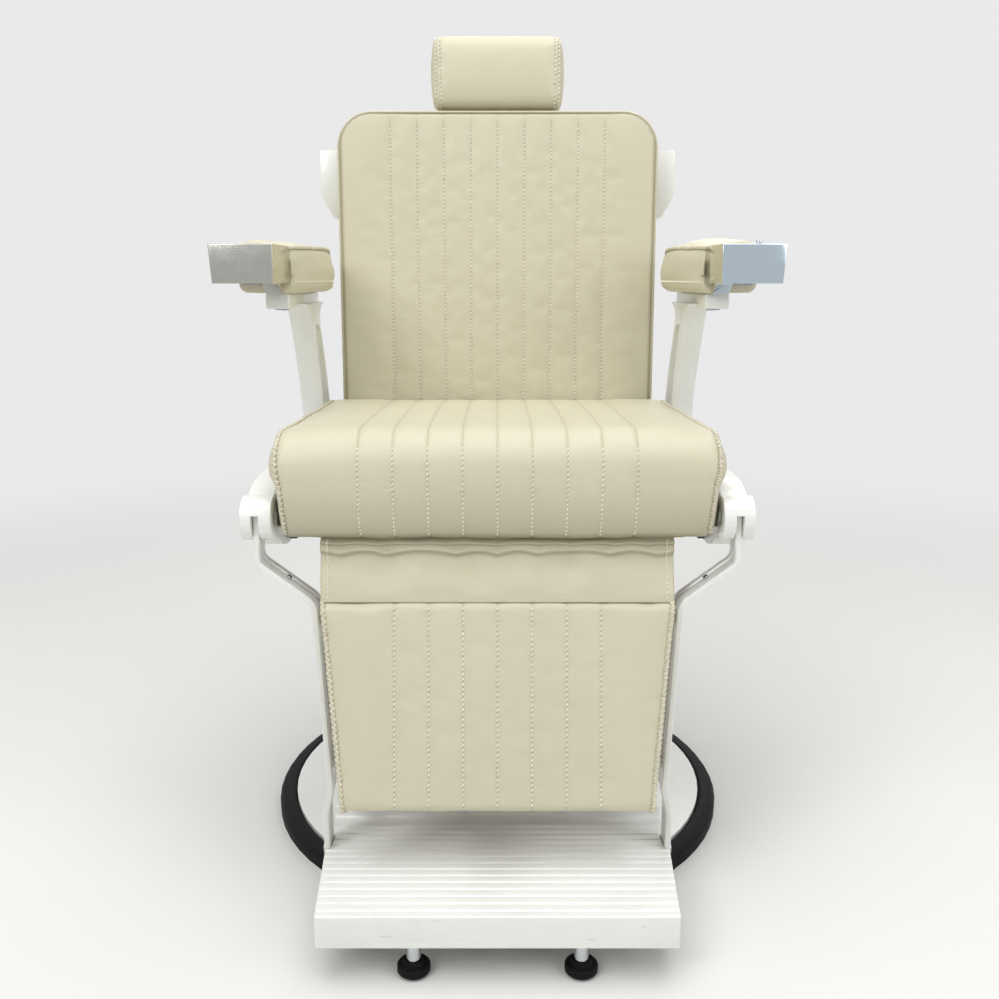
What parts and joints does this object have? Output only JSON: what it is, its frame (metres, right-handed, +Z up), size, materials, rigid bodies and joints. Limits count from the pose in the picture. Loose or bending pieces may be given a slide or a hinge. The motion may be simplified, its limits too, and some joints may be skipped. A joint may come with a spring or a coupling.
{
  "type": "hydraulic barber chair",
  "caption": "Hydraulic barber chair on a round base, with channelled cushions, cast side arms, a reclining back linked to a leg rest with a ribbed footplate, and a headrest.",
  "frame": {"origin": "on the floor, on the axis that the chair turns about", "axes": "+Z up; the sitter faces -Y; +X is the right side as seen from the front"},
  "size_m": [0.7174, 0.8472, 1.1244],
  "materials": {
    "cream_vinyl": "embossed vinyl, soft sheen",
    "white_enamel": "gloss baked enamel",
    "black_enamel": "satin",
    "black_rubber": "matt",
    "chrome": "polished",
    "brushed_aluminium": "brushed",
    "machined_steel": "machined",
    "plywood": "raw",
    "white_shell": "moulded, matt",
    "bronze": "sintered"
  },
  "bodies": {
    "base": {"base_plate": "machined_steel", "base_rim": "black_rubber", "base_cover": "white_enamel", "base_bearing": "machined_steel"},
    "pump": {"pump_housing": "white_enamel", "pump_collar": "chrome", "pedal_pin": "machined_steel"},
    "pedal": {"pedal_lever": "chrome", "pedal_tread": "black_rubber"},
    "seat": {"pump_ram": "chrome", "seat_mount_plate": "black_enamel", "seat_frame": "black_enamel", "seat_board": "plywood", "seat_cushion": "cream_vinyl", "arm_block_knob": "chrome", "recline_brake": "black_enamel", "side_casting_right": "white_enamel", "side_casting_left": "white_enamel", "hub_pin_right": "white_enamel", "hub_pin_left": "white_enamel", "back_bush_right": "bronze", "back_bush_left": "bronze", "arm_pad_right": "cream_vinyl", "arm_pad_left": "cream_vinyl", "arm_block_right": "brushed_aluminium", "arm_block_left": "brushed_aluminium"},
    "lever": {"recline_lever": "chrome", "recline_grip": "black_rubber"},
    "legrest": {"legrest_bar_right": "white_enamel", "legrest_bar_left": "white_enamel", "legrest_frame": "white_enamel", "leg_pad": "cream_vinyl", "leg_pad_board": "plywood", "leg_skirt": "cream_vinyl", "footplate": "white_enamel", "foot_post_right": "chrome", "foot_post_left": "chrome", "foot_pad_right": "black_rubber", "foot_pad_left": "black_rubber", "footplate_bolt_right": "machined_steel", "footplate_bolt_left": "machined_steel"},
    "back": {"back_shaft": "machined_steel", "back_frame": "black_enamel", "back_board": "white_shell", "backrest_cushion": "cream_vinyl", "handle_rail": "chrome", "headrest_guide": "black_enamel", "back_crank_right": "machined_steel", "back_crank_left": "machined_steel", "handle_bracket_right": "white_enamel", "handle_bracket_left": "white_enamel"},
    "drag_links": {"drag_link_right": "machined_steel", "drag_link_left": "machined_steel"},
    "headrest_slide": {"headrest_post": "chrome"},
    "headrest": {"headrest_board": "plywood", "headrest_cushion": "cream_vinyl"}
  },
  "joints": [
    {"name": "swivel", "type": "hinge", "parent": "base", "child": "pump", "pos_m": [0, 0, 0.034], "axis": [0, 0, 1], "continuous": true},
    {"name": "pump_pedal", "type": "hinge", "parent": "pump", "child": "pedal", "pos_m": [0, 0.08, 0.082], "axis": [-1, 0, 0], "range_deg": [0, 12], "stiffness_Nm_per_rad": 20, "springref_deg": -8.59},
    {"name": "lift", "type": "slide", "parent": "pump", "child": "seat", "axis": [0, 0, 1], "range_m": [0, 0.15]},
    {"name": "recline_lock", "type": "hinge", "parent": "seat", "child": "lever", "pos_m": [0, 0.158, 0.454], "axis": [-1, 0, 0], "range_deg": [0, 25], "stiffness_Nm_per_rad": 1.5, "springref_deg": -8.59},
    {"name": "recline", "type": "hinge", "parent": "seat", "child": "back", "pos_m": [0, 0.187, 0.489], "axis": [-1, 0, 0], "range_deg": [0, 50]},
    {"name": "legrest_swing", "type": "hinge", "parent": "seat", "child": "legrest", "pos_m": [0, -0.258, 0.489], "axis": [-1, 0, 0], "range_deg": [0, 50]},
    {"name": "drag_link_swing", "type": "hinge", "parent": "back", "child": "drag_links", "pos_m": [0, 0.212, 0.401], "axis": [-1, 0, 0], "range_deg": [-50, 0]},
    {"name": "headrest_height", "type": "slide", "parent": "back", "child": "headrest_slide", "axis": [0, 0.0454, 0.999], "range_m": [0, 0.11]},
    {"name": "headrest_tilt", "type": "hinge", "parent": "headrest_slide", "child": "headrest", "pos_m": [0, 0.26353, 1.07213], "axis": [-1, 0, 0], "range_deg": [0, 30]}
  ],
  "couplings": [
    {"joint": "legrest_swing", "follows": "recline", "ratio": 1},
    {"joint": "drag_link_swing", "follows": "recline", "ratio": -1}
  ]
}
